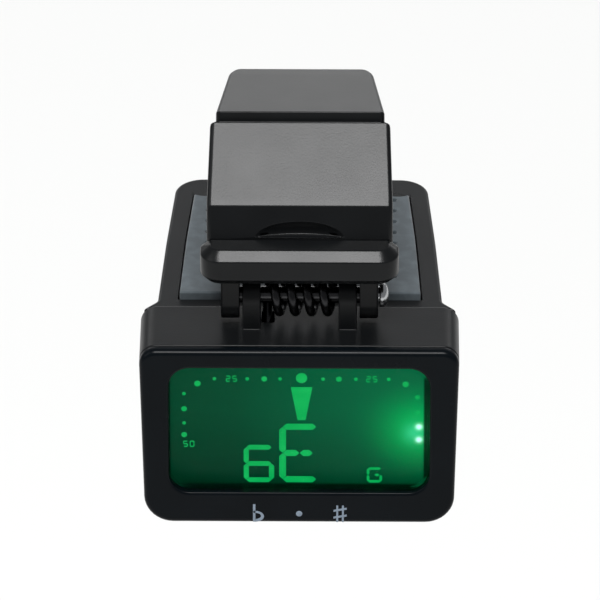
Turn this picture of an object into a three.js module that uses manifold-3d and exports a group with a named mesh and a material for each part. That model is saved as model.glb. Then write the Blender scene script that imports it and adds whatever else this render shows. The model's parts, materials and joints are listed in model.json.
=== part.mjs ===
// Clip-on instrument tuner: a backlit display case with a spring clamp on its back.
// Millimetres, +Z up. The origin is on the lower jaw's rubber face, above the centre of the coin cell.
// The display faces -Y, and the upper jaw closes down along -Z onto whatever stands on the lower jaw.
import * as THREE from "three";
import { mergeVertices } from "three/addons/utils/BufferGeometryUtils.js";
import Module from "manifold-3d";

// ---------- driving dimensions ----------
const GRIP = 12.5; // height of the open gap between the two rubber faces
const GAP = 0.15; // assembly clearance between fixed pieces
const RUN = 0.25; // clearance between moving pieces

// Display case
const CASE_TOP_HALF = 14.2;
const CASE_BOTTOM_HALF = 13.7;
const CASE_TOP = -0.1;
const CASE_BOTTOM = -17.7;
const CASE_BACK = -12.2;
const CASE_FRONT = -20.5;
const CASE_WALL = 1.4;
const CASE_TOP_RADIUS = 1.5;
const CASE_BOTTOM_RADIUS = 2.6;
const BACK_WALL = 1.3;
const BEZEL_THICKNESS = 1;
const REBATE_WIDTH = 0.7;
const REBATE_DEPTH = 0.8;
const TONGUE_WIDTH = 0.5;
const BEZEL_EDGE = 0.55;

// Window and the stack behind it, each layer given by its front and back
const WINDOW_HALF = 11.55;
const WINDOW_TOP = -1.9;
const WINDOW_BOTTOM = -14.6;
const WINDOW_RADIUS = 1.9;
const GLASS_HALF = 12.1;
const GLASS_TOP = -1.65;
const GLASS_BOTTOM = -15.4;
const GLASS_FRONT = -19.35;
const GLASS_BACK = -18.75;
const LCD_TOP = -1.7;
const LCD_BOTTOM = -15.7;
const LCD_FRONT = -18.6;
const LCD_BACK = -17.1;
const GUIDE_LEFT = -11.5;
const GUIDE_RIGHT = 10.2;
const GUIDE_TOP = -1.9;
const GUIDE_BOTTOM = -14;
const GUIDE_FRONT = -17;
const GUIDE_BACK = -16.1;
const BOARD_HALF = 12;
const BOARD_BOTTOM = -15.2;
const BOARD_FRONT = -15.6;
const BOARD_BACK = -14.8;

// Lower jaw: a box under the rubber face that holds the coin cell
const JAW_END = 11.8;
const JAW_BOTTOM = -7.9;
const JAW_RIM = -0.5;
const JAW_PLATE_BOTTOM = -2;
const JAW_FRONT_HALF = 12.65;
const JAW_MIDDLE_HALF = 12.1;
const JAW_END_HALF = 11.3;
const JAW_END_RADIUS = 2.6;
const PAD_THICKNESS = 1.25;
const PAD_RIM = 1.85; // width of the rim left around the pad
const GROOVE_HALF = 0.3; // half the width of a groove across a pad
const GROOVE_DEPTH = 0.4;
const GROOVE_PITCH = 2;
const LOWER_GROOVE_HALF = 8.6; // half the length of the lower pad's grooves
const UPPER_GROOVE_HALF = 5;
const CELL_RADIUS = 10;
const CELL_TOP = -3.3;
const CELL_BOTTOM = -6.5;
const BAY_RADIUS = CELL_RADIUS + 0.4;
const HOOK_HALF = 5; // the tab on the plate's front edge that hooks into the case
const HOOK_TOP = -1.35;
const LEAD_RADIUS = 0.24;
const SCREW_X = JAW_END_HALF - JAW_END_RADIUS;
const SCREW_Y = JAW_END - JAW_END_RADIUS;
const SCREW_RADIUS = 0.7;
const SCREW_HEAD = 1.35;
const SCREW_HOLE = 0.85;
const SCREW_RECESS = 1.55;
const PILOT_RADIUS = 0.78;
const BOSS_RADIUS = 1.35;

// Battery door
const DOOR_HALF = 10.2;
const DOOR_TOP = -6.9;
const DOOR_PIVOT_Y = -10;
const DOOR_PIVOT_Z = (DOOR_TOP + JAW_BOTTOM) / 2;
const TRUNNION_RADIUS = 0.42;
const TRUNNION_LENGTH = 0.95; // how far a trunnion stands out of the door's side
const SOCKET_RADIUS = 0.72;
const SOCKET_DEPTH = 1.3;
const SOCKET_MOUTH_HALF = 0.55;

// Clip hinge
const HINGE_Y = -14.4;
const HINGE_Z = 2.3;
const BARREL_RADIUS = 2.1;
const PIN_RADIUS = 0.75;
const PIN_HEAD = 1.1;
const LUG_INNER = 3.45;
const LUG_OUTER = 5.05;
const CHEEK_INNER = 5.3;
const CHEEK_OUTER = 6.95;
const WIRE_RADIUS = 0.42;
const COIL_RADIUS = 1.55;
const COIL_PITCH = 1.42;
const COIL_TURNS = 4;

// Upper arm
const ARM_TIP = 3.9;
const ARM_TIP_HALF = 6.3;
const ARM_BEND_HALF = 7.95;
const ARM_PLATE_HALF = 7.5;
const ARM_FOOT_HALF = 8.2;
const LIP_HALF = 8.75;
const LIP_FRONT = -18.2;
const LIP_TOP = 8.4;
const LIP_BOTTOM = 5.1;
const LIP_EDGE = 0.8;
const FLANGE_WALL = 1.7;
const SCOOP_HALF = 5;
const SCOOP_RADIUS = 1.9;

// Buttons in the case's floor
const BUTTON_X = 5;
const BUTTON_Y = -15.6;
const BUTTON_LENGTH = 5;
const BUTTON_WIDTH = 2.4;
const BUTTON_PROUD = 0.6;
const BUTTON_CLEARANCE = 0.18;

const ARC_STEPS = 5; // segments in each rounded corner
const ROUND_STEPS = 32; // segments in each full circle
const WIRE_STEPS = 8; // sides of a wire

// ---------- solids ----------
const wasm = await Module();
wasm.setup();

// A closed geometry as a manifold-3d solid.
function solid(geometry) {
  const bare = new THREE.BufferGeometry().setAttribute("position", geometry.getAttribute("position"));
  if (geometry.index) bare.setIndex(geometry.index);
  const merged = mergeVertices(bare, 1e-4);
  return new wasm.Manifold(
    new wasm.Mesh({
      numProp: 3,
      vertProperties: new Float32Array(merged.getAttribute("position").array),
      triVerts: new Uint32Array(merged.index.array),
    }),
  );
}

// A manifold-3d solid as a geometry.
function geometryOf(made) {
  const mesh = made.getMesh();
  const geometry = new THREE.BufferGeometry();
  geometry.setAttribute("position", new THREE.BufferAttribute(new Float32Array(mesh.vertProperties), 3));
  geometry.setIndex(new THREE.BufferAttribute(new Uint32Array(mesh.triVerts), 1));
  geometry.computeVertexNormals();
  return geometry;
}

const join = (first, ...others) => others.reduce((sum, next) => sum.add(next), first);
const cut = (first, ...others) => others.reduce((rest, next) => rest.subtract(next), first);

// An outline from [x, y, radius] corners, in order, with each corner rounded by its radius.
function outline(corners) {
  const shape = new THREE.Shape();
  const at = (i) => new THREE.Vector2(...corners[(i + corners.length) % corners.length].slice(0, 2));
  corners.forEach(([, , radius = 0], i) => {
    const corner = at(i);
    const toLast = at(i - 1).sub(corner).normalize();
    const toNext = at(i + 1).sub(corner).normalize();
    const half = Math.acos(THREE.MathUtils.clamp(toLast.dot(toNext), -1, 1)) / 2;
    const reach = radius / Math.tan(half);
    const steps = radius > 0 ? ARC_STEPS : 0;
    const centre = toLast.clone().add(toNext).normalize().multiplyScalar(radius / Math.sin(half)).add(corner);
    const from = toLast.clone().multiplyScalar(reach).add(corner).sub(centre).angle();
    const to = toNext.clone().multiplyScalar(reach).add(corner).sub(centre).angle();
    const sweep = THREE.MathUtils.euclideanModulo(to - from + Math.PI, 2 * Math.PI) - Math.PI;
    for (let k = 0; k <= steps; k++) {
      const angle = from + (steps ? (sweep * k) / steps : 0);
      const x = radius ? centre.x + radius * Math.cos(angle) : corner.x;
      const y = radius ? centre.y + radius * Math.sin(angle) : corner.y;
      if (i === 0 && k === 0) shape.moveTo(x, y);
      else shape.lineTo(x, y);
    }
  });
  shape.closePath();
  return shape;
}

const box2 = (x0, x1, y0, y1, radius = 0) =>
  outline([
    [x0, y0, radius],
    [x1, y0, radius],
    [x1, y1, radius],
    [x0, y1, radius],
  ]);

// Prisms from an outline. alongX takes (y, z) outlines, alongY takes (x, z), and alongZ takes (x, y).
// An edge above zero rounds off both ends of the prism by that much.
function prism(shape, length, edge = 0) {
  const bevel = { bevelEnabled: edge > 0, bevelThickness: edge, bevelSize: edge, bevelOffset: -edge };
  const settings = { depth: length - 2 * edge, bevelSegments: 3, ...bevel };
  return new THREE.ExtrudeGeometry(shape, settings).translate(0, 0, edge);
}

function alongX(shape, x0, x1) {
  const turn = new THREE.Matrix4().set(0, 0, 1, x0, 1, 0, 0, 0, 0, 1, 0, 0, 0, 0, 0, 1);
  return solid(prism(shape, x1 - x0).applyMatrix4(turn));
}

function alongY(shape, y0, y1, edge = 0) {
  const turn = new THREE.Matrix4().set(1, 0, 0, 0, 0, 0, -1, y1, 0, 1, 0, 0, 0, 0, 0, 1);
  return solid(prism(shape, y1 - y0, edge).applyMatrix4(turn));
}

function alongZ(shape, z0, z1, edge = 0) {
  return solid(prism(shape, z1 - z0, edge).translate(0, 0, z0));
}

function block(x0, x1, y0, y1, z0, z1, radius = 0) {
  return alongZ(box2(x0, x1, y0, y1, radius), z0, z1);
}

function circle(u, v, radius, steps = ROUND_STEPS) {
  const shape = new THREE.Shape();
  shape.absarc(u, v, radius, 0, 2 * Math.PI);
  return new THREE.Shape(shape.getSpacedPoints(steps).slice(0, -1));
}

// A round wire along a curve.
function wire(radius, path, steps) {
  const section = circle(0, 0, radius, WIRE_STEPS);
  return solid(new THREE.ExtrudeGeometry(section, { steps, extrudePath: path, bevelEnabled: false }));
}

const mirrored = (half) => [...half, ...half.map(([x, y, radius]) => [-x, y, radius]).reverse()];
const bothSides = (make) => join(make(1), make(-1));
const span = (side, a, b) => (side > 0 ? [a, b] : [-b, -a]);

// ---------- outlines shared by several pieces ----------
// The display case seen from the front, drawn in by an inset.
function caseOutline(inset) {
  const slope = (CASE_TOP_HALF - CASE_BOTTOM_HALF) / (CASE_TOP - CASE_BOTTOM);
  const halfAt = (z) => CASE_BOTTOM_HALF + slope * (z - CASE_BOTTOM) - inset;
  const low = CASE_BOTTOM + inset;
  const high = CASE_TOP - inset;
  const lowRadius = Math.max(CASE_BOTTOM_RADIUS - inset, 0.4);
  const highRadius = Math.max(CASE_TOP_RADIUS - inset, 0.3);
  return outline(
    mirrored([
      [halfAt(low), low, lowRadius],
      [halfAt(high), high, highRadius],
    ]),
  );
}

// The lower jaw seen from above, drawn in by an inset. It flares into the case at its front.
function jawOutline(inset, front, flare = 0) {
  return outline(
    mirrored([
      [JAW_FRONT_HALF + flare - inset, front, 0],
      ...(flare ? [[JAW_FRONT_HALF - inset, front + 1.4, 1.2]] : []),
      [JAW_MIDDLE_HALF - inset, 0, 12],
      [JAW_END_HALF - inset, JAW_END - inset, JAW_END_RADIUS - inset * 0.6],
    ]),
  );
}

// The battery door seen from above: straight sides and a round end about the cell's axis.
function doorOutline(grow, front) {
  const shape = new THREE.Shape();
  shape.moveTo(-DOOR_HALF - grow, front);
  shape.lineTo(DOOR_HALF + grow, front);
  for (let k = 0; k <= ROUND_STEPS / 2; k++) {
    const angle = (Math.PI * k) / (ROUND_STEPS / 2);
    shape.lineTo((DOOR_HALF + grow) * Math.cos(angle), (DOOR_HALF + grow) * Math.sin(angle));
  }
  shape.closePath();
  return shape;
}

// ---------- materials ----------
const material = (color, roughness, metalness = 0, more = {}) =>
  new THREE.MeshStandardMaterial({ color, roughness, metalness, ...more });
const caseBlack = material(0x17181a, 0.42);
const bezelBlack = material(0x0d0f12, 0.3);
const armCharcoal = material(0x3a3b3d, 0.5);
const padRubber = material(0x3c4144, 0.75);
const clearLens = material(0xeaf2ee, 0.08, 0, { transparent: true, opacity: 0.3 });
const lcdGreen = material(0x0b6b3f, 0.25, 0, { emissive: 0x05502c });
const guideAcrylic = material(0xd8efe2, 0.2);
const ledWhite = material(0xf6fff8, 0.3, 0, { emissive: 0xb8ffe0 });
const reflectorWhite = material(0xf2f2ee, 0.6);
const boardGreen = material(0x1c5a34, 0.5);
const chipBlack = material(0x16161a, 0.6);
const canSteel = material(0xb9bcc0, 0.3, 1);
const cellSteel = material(0xc4c6c8, 0.28, 1);
const brass = material(0xc7a251, 0.35, 1);
const ceramic = material(0xe8e4da, 0.5);
const springSteel = material(0x2a2a2c, 0.3, 1);
const brightSteel = material(0xcfd1d4, 0.22, 1);
const leadRed = material(0xa81c1c, 0.5);
const leadBlack = material(0x141414, 0.5);
const buttonRubber = material(0x202226, 0.65);
const stripRubber = material(0x55595c, 0.7);

// ---------- display case ----------
function rearHousing() {
  const shell = alongY(caseOutline(0), CASE_FRONT + BEZEL_THICKNESS + GAP, CASE_BACK);
  const cavity = alongY(caseOutline(CASE_WALL), CASE_FRONT, CASE_BACK - BACK_WALL);
  const rebateBack = CASE_FRONT + BEZEL_THICKNESS + GAP + REBATE_DEPTH;
  const rebate = alongY(caseOutline(CASE_WALL - REBATE_WIDTH), CASE_FRONT, rebateBack);
  const jawBox = alongZ(jawOutline(0, CASE_BACK - 0.6, 1.3), JAW_BOTTOM, JAW_PLATE_BOTTOM - GAP);
  const bay = alongZ(circle(0, 0, BAY_RADIUS), DOOR_TOP - 0.1, JAW_PLATE_BOTTOM + 1);
  const doorway = alongZ(doorOutline(RUN, DOOR_PIVOT_Y - 0.5 - RUN), JAW_BOTTOM - 1, DOOR_TOP + 0.15);
  const passage = block(-4.4, 8.2, CASE_BACK - BACK_WALL - 0.5, -7.5, -6.2, JAW_PLATE_BOTTOM + 1);
  const socketEnd = DOOR_HALF + SOCKET_DEPTH;
  const sockets = alongX(circle(DOOR_PIVOT_Y, DOOR_PIVOT_Z, SOCKET_RADIUS), -socketEnd, socketEnd);
  const socketMouths = block(
    -socketEnd,
    socketEnd,
    DOOR_PIVOT_Y - SOCKET_MOUTH_HALF,
    DOOR_PIVOT_Y + SOCKET_MOUTH_HALF,
    JAW_BOTTOM - 1,
    DOOR_PIVOT_Z,
  );
  const lugs = bothSides((side) => {
    const [x0, x1] = span(side, LUG_INNER, LUG_OUTER);
    const foot = box2(HINGE_Y - BARREL_RADIUS, HINGE_Y + BARREL_RADIUS, CASE_TOP - 0.5, HINGE_Z);
    return join(alongX(circle(HINGE_Y, HINGE_Z, BARREL_RADIUS), x0, x1), alongX(foot, x0, x1));
  });
  const pinBore = alongX(circle(HINGE_Y, HINGE_Z, PIN_RADIUS + 0.1), -LUG_OUTER - 1, LUG_OUTER + 1);
  const legX = -2 * COIL_PITCH;
  const legSlot = block(legX - 0.6, legX + 0.6, -15.2, -13.3, CASE_TOP - CASE_WALL - 0.5, CASE_TOP + 0.5);
  const hookSlot = block(
    -HOOK_HALF - GAP, HOOK_HALF + GAP, CASE_BACK - 1, CASE_BACK + 1, JAW_PLATE_BOTTOM - GAP, HOOK_TOP + GAP,
  );
  const screwHoles = bothSides((side) =>
    join(
      alongZ(circle(side * SCREW_X, SCREW_Y, SCREW_HOLE), JAW_BOTTOM - 1, 0),
      alongZ(circle(side * SCREW_X, SCREW_Y, SCREW_RECESS), JAW_BOTTOM - 1, JAW_BOTTOM + 1.3),
    ),
  );
  const buttonHoles = bothSides((side) =>
    buttonPill(side * BUTTON_X, BUTTON_CLEARANCE, CASE_BOTTOM - 1, CASE_BOTTOM + CASE_WALL + 0.5),
  );
  const nailNotch = block(-3, 3, DOOR_HALF + 0.1, JAW_END + 1, JAW_BOTTOM - 1, JAW_BOTTOM + 0.7);
  const outside = join(shell, jawBox, lugs);
  return cut(
    outside, cavity, rebate, bay, doorway, passage, sockets, socketMouths,
    pinBore, legSlot, hookSlot, screwHoles, buttonHoles, nailNotch,
  );
}

function frontBezel() {
  const rounded = alongY(caseOutline(0), CASE_FRONT, CASE_FRONT + 2 * BEZEL_THICKNESS, BEZEL_EDGE);
  const plate = alongY(caseOutline(0), CASE_FRONT, CASE_FRONT + BEZEL_THICKNESS);
  const tongueOuter = CASE_WALL - REBATE_WIDTH + 0.1;
  const tongueBack = CASE_FRONT + BEZEL_THICKNESS + REBATE_DEPTH;
  const tongue = cut(
    alongY(caseOutline(tongueOuter), CASE_FRONT + BEZEL_THICKNESS / 2, tongueBack),
    alongY(caseOutline(tongueOuter + TONGUE_WIDTH), CASE_FRONT - 1, tongueBack + 1),
  );
  const window = windowPrism(0, CASE_FRONT - 1, tongueBack + 1);
  return cut(join(rounded.intersect(plate), tongue), window);
}

const windowPrism = (grow, y0, y1) =>
  alongY(
    box2(-WINDOW_HALF - grow, WINDOW_HALF + grow, WINDOW_BOTTOM - grow, WINDOW_TOP + grow, WINDOW_RADIUS),
    y0,
    y1,
  );

function windowLens() {
  const flange = alongY(box2(-GLASS_HALF, GLASS_HALF, GLASS_BOTTOM, GLASS_TOP, 0.8), GLASS_FRONT, GLASS_BACK);
  return join(flange, windowPrism(-0.2, CASE_FRONT + 0.45, GLASS_FRONT + 0.35));
}

const lcdPanel = () => block(-GLASS_HALF, GLASS_HALF, LCD_FRONT, LCD_BACK, LCD_BOTTOM, LCD_TOP);
const lightGuide = () => block(GUIDE_LEFT, GUIDE_RIGHT, GUIDE_FRONT, GUIDE_BACK, GUIDE_BOTTOM, GUIDE_TOP);
const reflectorSheet = () =>
  block(GUIDE_LEFT, GUIDE_RIGHT, GUIDE_BACK + 0.1, GUIDE_BACK + 0.3, GUIDE_BOTTOM, GUIDE_TOP);
const backlightLed = (z) =>
  block(GUIDE_RIGHT + GAP, GUIDE_RIGHT + GAP + 0.8, GUIDE_FRONT, GUIDE_BACK, z - 0.5, z + 0.5);
const zebraStrip = () => block(-10.5, 10.5, GUIDE_FRONT, BOARD_FRONT - 0.1, -15.1, GUIDE_BOTTOM - 0.2);
const mainBoard = () => block(-BOARD_HALF, BOARD_HALF, BOARD_FRONT, BOARD_BACK, BOARD_BOTTOM, GUIDE_TOP);
const tunerChip = () => block(-3.2, 2.4, BOARD_BACK + 0.05, BOARD_BACK + 0.95, -13.2, -7.6);
const clockCrystal = () => block(6.2, 9.4, BOARD_BACK + 0.05, BOARD_BACK + 0.75, -10.4, -8.9, 0.3);
const tactSwitch = (x) => block(x - 1.8, x + 1.8, BOARD_BACK + 0.05, BOARD_BACK + 1.05, -14.95, -12.6);

// A button cap's pill, seen from below, standing from z0 to z1.
function buttonPill(x, grow, z0, z1) {
  const half = BUTTON_LENGTH / 2 + grow;
  const wide = BUTTON_WIDTH / 2 + grow;
  return alongZ(box2(x - half, x + half, BUTTON_Y - wide, BUTTON_Y + wide, wide * 0.98), z0, z1);
}

function button(x) {
  const flangeBottom = CASE_BOTTOM + CASE_WALL + 0.1;
  const cap = buttonPill(x, 0, CASE_BOTTOM - BUTTON_PROUD, flangeBottom + 0.2);
  const flange = block(x - 3.1, x + 3.1, BUTTON_Y - 1.4, BUTTON_Y + 1.5, flangeBottom, flangeBottom + 0.45);
  const stem = block(x - 0.6, x + 0.6, BOARD_BACK + 0.1, BOARD_BACK + 0.7, flangeBottom, flangeBottom + 0.8);
  return join(cap, flange, stem);
}

// ---------- lower jaw ----------
function jawPlate() {
  const plate = alongZ(jawOutline(0, CASE_BACK + GAP, 1.2), JAW_PLATE_BOTTOM, JAW_RIM);
  const recess = alongZ(jawOutline(PAD_RIM - GAP, CASE_BACK + 0.05), -PAD_THICKNESS - 0.05, 1);
  const pilots = bothSides((side) =>
    alongZ(circle(side * SCREW_X, SCREW_Y, PILOT_RADIUS), JAW_PLATE_BOTTOM - 1, JAW_RIM - GAP),
  );
  const bosses = bothSides((side) => alongZ(circle(side * SCREW_X, SCREW_Y, BOSS_RADIUS), -1.6, JAW_RIM));
  const hook = block(-HOOK_HALF, HOOK_HALF, CASE_BACK - 0.85, CASE_BACK + 1, JAW_PLATE_BOTTOM, HOOK_TOP);
  return cut(join(cut(plate, recess), bosses, hook), pilots);
}

function lowerPad() {
  const pad = alongZ(jawOutline(PAD_RIM, CASE_BACK + 0.35), -PAD_THICKNESS, 0);
  const grooves = [];
  for (let y = -7; y < 8; y += GROOVE_PITCH) {
    grooves.push(
      block(-LOWER_GROOVE_HALF, LOWER_GROOVE_HALF, y - GROOVE_HALF, y + GROOVE_HALF, -GROOVE_DEPTH, 1),
    );
  }
  const aroundScrews = bothSides((side) => alongZ(circle(side * SCREW_X, SCREW_Y, SCREW_RECESS), -2, 1));
  return cut(pad, ...grooves, aroundScrews);
}

const piezoPlate = () => alongZ(circle(0, 0, 7.5), JAW_PLATE_BOTTOM - 0.3, JAW_PLATE_BOTTOM - 0.05);
const piezoCeramic = () => alongZ(circle(0, 0, 5), JAW_PLATE_BOTTOM - 0.58, JAW_PLATE_BOTTOM - 0.32);

function coinCell() {
  const can = alongZ(circle(0, 0, CELL_RADIUS), CELL_BOTTOM, CELL_TOP - 0.35);
  const lid = alongZ(circle(0, 0, CELL_RADIUS - 1.2), CELL_BOTTOM + 1, CELL_TOP);
  return join(can, lid);
}

// The leaf that presses on the cell's upper, negative face.
function contactNegative() {
  const middle = (above) => [
    [-14.7, -2.95 + above],
    [-2, -2.95 + above],
    [0, -3.25 + above],
    [1.6, -2.95 + above],
  ];
  const strip = outline([...middle(0), ...middle(0.2).reverse()]);
  return alongX(strip, -2, 2);
}

// The leaf that presses on the cell's rim, its positive side.
function contactPositive() {
  const strip = block(5.5, 7.5, -14.7, -8.6, -5.1, -4.9);
  const upright = block(5.5, 7.5, -8.8, -8.6, -6.1, -3.7);
  return join(strip, upright);
}

function sensorLead(x) {
  const route = new THREE.CatmullRomCurve3([
    new THREE.Vector3(x, -14.45, -4.3),
    new THREE.Vector3(x, -13.2, -3.6),
    new THREE.Vector3(x, -11, -2.75),
    new THREE.Vector3(x * 0.95, -8.2, -2.55),
  ]);
  return wire(LEAD_RADIUS, route, 12);
}

function batteryDoor() {
  const plate = alongZ(doorOutline(0, DOOR_PIVOT_Y), JAW_BOTTOM, DOOR_TOP);
  const roundEdge = alongX(circle(DOOR_PIVOT_Y, DOOR_PIVOT_Z, 0.499), -DOOR_HALF, DOOR_HALF);
  const reach = DOOR_HALF + TRUNNION_LENGTH;
  const trunnions = alongX(circle(DOOR_PIVOT_Y, DOOR_PIVOT_Z, TRUNNION_RADIUS), -reach, reach);
  const ribs = [0, 1, 2].map((k) => {
    const y = 5.6 + k * 1.1;
    return block(-3 + k * 0.5, 3 - k * 0.5, y - 0.25, y + 0.25, JAW_BOTTOM - 0.25, JAW_BOTTOM + 0.2);
  });
  return join(plate, roundEdge, trunnions, ...ribs);
}

function jawScrew() {
  const profile = [
    [0, -6.35],
    [SCREW_RADIUS, -6.35],
    [SCREW_RADIUS, -1.25],
    [SCREW_HEAD, -1.25],
    [SCREW_HEAD, -0.55],
    [SCREW_HEAD - 0.35, -0.3],
    [0, -0.3],
  ].map(([r, z]) => new THREE.Vector2(r, -z));
  const body = solid(new THREE.LatheGeometry(profile.reverse(), 16).rotateX(Math.PI / 2));
  const slots = [0, Math.PI / 2].map((angle) =>
    solid(new THREE.BoxGeometry(1.5, 0.3, 0.8).rotateZ(angle).translate(0, 0, 0.3)),
  );
  return cut(body, ...slots);
}

// ---------- clip ----------
// The arm's side, from the jaw's tip over the bend and down to the hinge.
const ARM_OUTER = [
  [ARM_TIP, GRIP + 1.5, 0.2],
  [ARM_TIP, 15.3, 0.95],
  [-7.55, 17, 0.25],
  [-7.7, 15.95, 0],
  [-7.95, 15.95, 0],
  [-8.2, 16.42, 0.2],
  [-14.1, 11.05, 0.25],
  [-15.1, LIP_TOP, 0],
  [-15.1, 5.2, 0],
];
const ARM_INNER = [
  [-11.6, 5.2, 0],
  [-10.5, 5.9, 0.5],
  [-9.85, 11.8, 0.8],
  [-7.7, GRIP + 1.5, 0.3],
];

// The arm seen from above.
function armPlan() {
  return outline(
    mirrored([
      [ARM_FOOT_HALF, -17, 0],
      [ARM_FOOT_HALF, -13.6, 0],
      [ARM_BEND_HALF, -7.95, 0],
      [ARM_PLATE_HALF, -7.7, 0],
      [ARM_TIP_HALF, ARM_TIP, 1.8],
    ]),
  );
}

// The shallow hollow above the lip, where the fingertip rests.
function fingerScoop() {
  const flatness = SCOOP_RADIUS / SCOOP_HALF;
  const ball = new THREE.SphereGeometry(SCOOP_HALF, 32, 20).scale(1, flatness, flatness);
  const aboveLip = block(-SCOOP_HALF, SCOOP_HALF, -20, -10, LIP_TOP, LIP_TOP + 2 * SCOOP_RADIUS);
  return solid(ball.translate(0, -16.2, LIP_TOP + 0.35)).intersect(aboveLip);
}

// The bar across the front that the fingers press down to open the jaws.
function fingerLip() {
  const plan = outline(
    mirrored([
      [LIP_HALF, LIP_FRONT, 1.8],
      [LIP_HALF, -14.6, 0.9],
    ]),
  );
  return alongZ(plan, LIP_BOTTOM, LIP_TOP, LIP_EDGE);
}

function clipArm() {
  const side = alongX(outline([...ARM_OUTER, ...ARM_INNER]), -LIP_HALF, LIP_HALF);
  const shaped = side.intersect(alongZ(armPlan(), 0, 20));
  const neckOutline = outline([
    [-16.5, 6], [-16.5, HINGE_Z], [-12.3, HINGE_Z], [-12.3, 3.4], [-11.2, 5.3], [-11.2, 6],
  ]);
  const neck = join(
    alongX(neckOutline, -CHEEK_OUTER, CHEEK_OUTER),
    alongX(circle(HINGE_Y, HINGE_Z, BARREL_RADIUS), -CHEEK_OUTER, CHEEK_OUTER),
  );
  const betweenCheeks = alongX(
    outline([[-17, 0], [-10, 0], [-10, 4.95], [-17, 4.95]]),
    -CHEEK_INNER,
    CHEEK_INNER,
  );
  const pocketHalf = ARM_FOOT_HALF - FLANGE_WALL;
  const pocket = alongX(
    outline([
      [-8.4, 14.1], [-13, 9.8, 0.6], [-13.6, 8.3], [-14.9, 7.1], [-14.9, 4.5],
      [-11.3, 4.5], [-11.3, 9.2], [-9.2, 9.2], [-9.2, 12.6], [-7.9, 14],
    ]),
    -pocketHalf,
    pocketHalf,
  );
  const bore = alongX(circle(HINGE_Y, HINGE_Z, PIN_RADIUS + 0.25), -CHEEK_OUTER - 1, CHEEK_OUTER + 1);
  return cut(join(cut(shaped, fingerScoop()), fingerLip(), neck), betweenCheeks, pocket, bore);
}

function upperPad() {
  const plan = outline(
    mirrored([
      [7, -7.1, 0.8],
      [5.5, ARM_TIP - 0.6, 1.4],
    ]),
  );
  const pad = alongZ(plan, GRIP, GRIP + 1.45);
  const grooves = [];
  for (let y = -5; y < 2; y += GROOVE_PITCH) {
    const [y0, y1] = [y - GROOVE_HALF, y + GROOVE_HALF];
    grooves.push(block(-UPPER_GROOVE_HALF, UPPER_GROOVE_HALF, y0, y1, GRIP - 1, GRIP + GROOVE_DEPTH));
  }
  return cut(pad, ...grooves);
}

// A pin with a domed head on the right. Its other end is flush with the left cheek.
function hingePin() {
  const head = CHEEK_OUTER + 0.15;
  const chamfer = 0.15;
  const profile = [
    [0, -CHEEK_OUTER],
    [PIN_RADIUS - chamfer, -CHEEK_OUTER],
    [PIN_RADIUS, -CHEEK_OUTER + chamfer],
    [PIN_RADIUS, head],
    [PIN_HEAD, head],
    [PIN_HEAD, head + 0.35],
    [PIN_HEAD - 0.4, head + 0.75],
    [0, head + 0.8],
  ].map(([r, x]) => new THREE.Vector2(r, x));
  const pin = new THREE.LatheGeometry(profile, ROUND_STEPS / 2).rotateZ(-Math.PI / 2);
  return solid(pin.translate(0, HINGE_Y, HINGE_Z));
}

// The torsion spring's wire: a leg into the case, the coil about the pin, and a leg up behind the arm.
class SpringWire extends THREE.Curve {
  constructor() {
    super();
    this.start = THREE.MathUtils.degToRad(-30);
    this.end = THREE.MathUtils.degToRad(-10) + 2 * Math.PI * COIL_TURNS;
    this.lowLeg = 2.9;
    this.highLeg = 6;
    this.coil = (this.end - this.start) * COIL_RADIUS;
    this.total = this.lowLeg + this.coil + this.highLeg;
  }
  onCoil(angle) {
    const x = COIL_PITCH * ((angle - this.start) / (2 * Math.PI) - COIL_TURNS / 2);
    const round = new THREE.Vector3(0, Math.cos(angle), Math.sin(angle)).multiplyScalar(COIL_RADIUS);
    return round.add(new THREE.Vector3(x, HINGE_Y, HINGE_Z));
  }
  getPoint(t, target = new THREE.Vector3()) {
    const s = t * this.total;
    const along = (angle, length) =>
      this.onCoil(angle).add(new THREE.Vector3(0, -Math.sin(angle), Math.cos(angle)).multiplyScalar(length));
    if (s < this.lowLeg) return target.copy(along(this.start, s - this.lowLeg));
    if (s > this.lowLeg + this.coil) return target.copy(along(this.end, s - this.lowLeg - this.coil));
    return target.copy(this.onCoil(this.start + (s - this.lowLeg) / COIL_RADIUS));
  }
}

function torsionSpring() {
  return wire(WIRE_RADIUS, new SpringWire(), 96);
}

// ---------- assembly ----------
const tuner = new THREE.Group();

function place(name, made, look) {
  const mesh = new THREE.Mesh(geometryOf(made), look);
  mesh.name = name;
  tuner.add(mesh);
  return mesh;
}

place("rear_housing", rearHousing(), caseBlack);
place("front_bezel", frontBezel(), bezelBlack);
place("window_lens", windowLens(), clearLens);
place("lcd_panel", lcdPanel(), lcdGreen);
place("light_guide", lightGuide(), guideAcrylic);
place("reflector_sheet", reflectorSheet(), reflectorWhite);
place("backlight_led_upper", backlightLed(-9.6), ledWhite);
place("backlight_led_lower", backlightLed(-10.9), ledWhite);
place("zebra_strip", zebraStrip(), stripRubber);
place("main_board", mainBoard(), boardGreen);
place("tuner_chip", tunerChip(), chipBlack);
place("clock_crystal", clockCrystal(), canSteel);
for (const [kind, x] of [["power", -BUTTON_X], ["mode", BUTTON_X]]) {
  place(`${kind}_switch`, tactSwitch(x), chipBlack);
  place(`${kind}_button`, button(x), buttonRubber);
}
place("jaw_plate", jawPlate(), caseBlack);
place("lower_pad", lowerPad(), padRubber);
place("piezo_plate", piezoPlate(), brass);
place("piezo_ceramic", piezoCeramic(), ceramic);
place("sensor_lead_red", sensorLead(-3), leadRed);
place("sensor_lead_black", sensorLead(-3.8), leadBlack);
place("coin_cell", coinCell(), cellSteel);
place("cell_contact_negative", contactNegative(), brightSteel);
place("cell_contact_positive", contactPositive(), brightSteel);
place("battery_door", batteryDoor(), caseBlack);
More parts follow.
